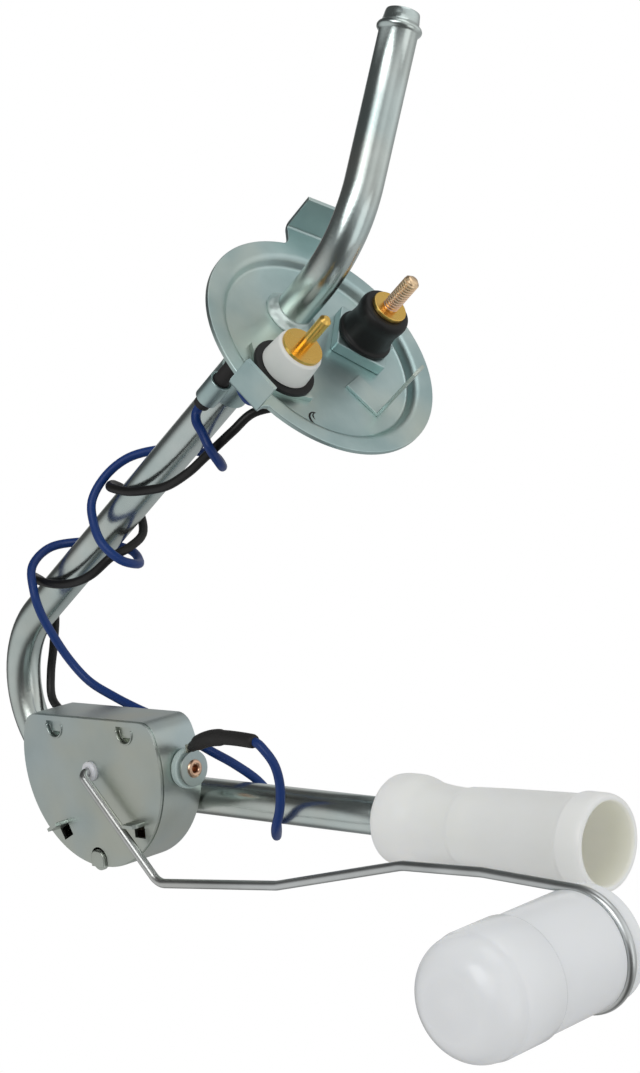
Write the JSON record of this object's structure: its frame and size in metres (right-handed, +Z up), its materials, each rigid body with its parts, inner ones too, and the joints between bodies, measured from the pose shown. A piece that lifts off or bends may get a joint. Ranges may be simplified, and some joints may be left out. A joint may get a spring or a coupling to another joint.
{
  "type": "fuel level sender",
  "caption": "Round flange plate with a bent fuel tube, two insulated terminals and a resistor housing whose white float swings on a wire arm; a moulded strainer ends the tube.",
  "frame": {"origin": "centre of the flange plate, on the face of its rim that seats against the floor of the tank", "axes": "+Z up into the tank, square to the flange; the bent fuel tube lies parallel to the XZ plane with the strainer towards -X; the housing's cover and the float are on the -Y side"},
  "size_m": [0.2248, 0.0977, 0.2264],
  "materials": {
    "plated_steel": "satin zinc plate",
    "plated_tube": "bright zinc plate",
    "braze": "rough braze",
    "black_rubber": "satin",
    "white_plastic": "satin",
    "brass": "bright",
    "copper_stud": "copper flashed",
    "tinned_brass": "tinned",
    "black_sleeve": "satin",
    "blue_cover": "smooth",
    "black_cover": "smooth",
    "teal_insulator": "satin",
    "card": "phenolic card",
    "winding": "bare resistance wire",
    "spring_steel": "drawn",
    "float_plastic": "moulded",
    "strainer_plastic": "moulded"
  },
  "bodies": {
    "sender": {"flange_plate": "plated_steel", "fuel_tube": "plated_tube", "tube_braze_ring": "braze", "signal_base": "plated_steel", "signal_gasket": "black_rubber", "signal_insulator": "white_plastic", "signal_pin": "brass", "signal_inner_washer": "plated_steel", "signal_tag": "tinned_brass", "stud_base": "plated_steel", "stud_grommet": "black_rubber", "stud_washer": "brass", "threaded_stud": "copper_stud", "stud_inner_washer": "plated_steel", "stud_inner_nut": "brass", "stud_tag": "tinned_brass", "ground_blade": "plated_steel", "wire_clip": "plated_steel", "blue_lead_sleeve": "black_sleeve", "blue_lead": "blue_cover", "black_lead": "black_cover", "housing_can": "plated_steel", "housing_cover": "plated_steel", "housing_saddle": "braze", "terminal_insulator": "teal_insulator", "terminal_washer": "plated_steel", "terminal_rivet": "brass", "terminal_tag": "tinned_brass", "terminal_sleeve": "black_sleeve", "resistor_card": "card", "resistor_winding": "winding", "strainer": "strainer_plastic"},
    "arm": {"float_arm": "spring_steel", "float_body": "float_plastic", "float_cap": "float_plastic", "rotor_hub": "white_plastic", "hub_clip": "spring_steel", "wiper_arm": "brass", "wiper_contact": "brass"}
  },
  "joints": [
    {"name": "float_swing", "type": "hinge", "parent": "sender", "child": "arm", "pos_m": [-0.0411, -0.0209, 0.12466], "axis": [0, 1, 0], "range_deg": [0, 78]}
  ]
}
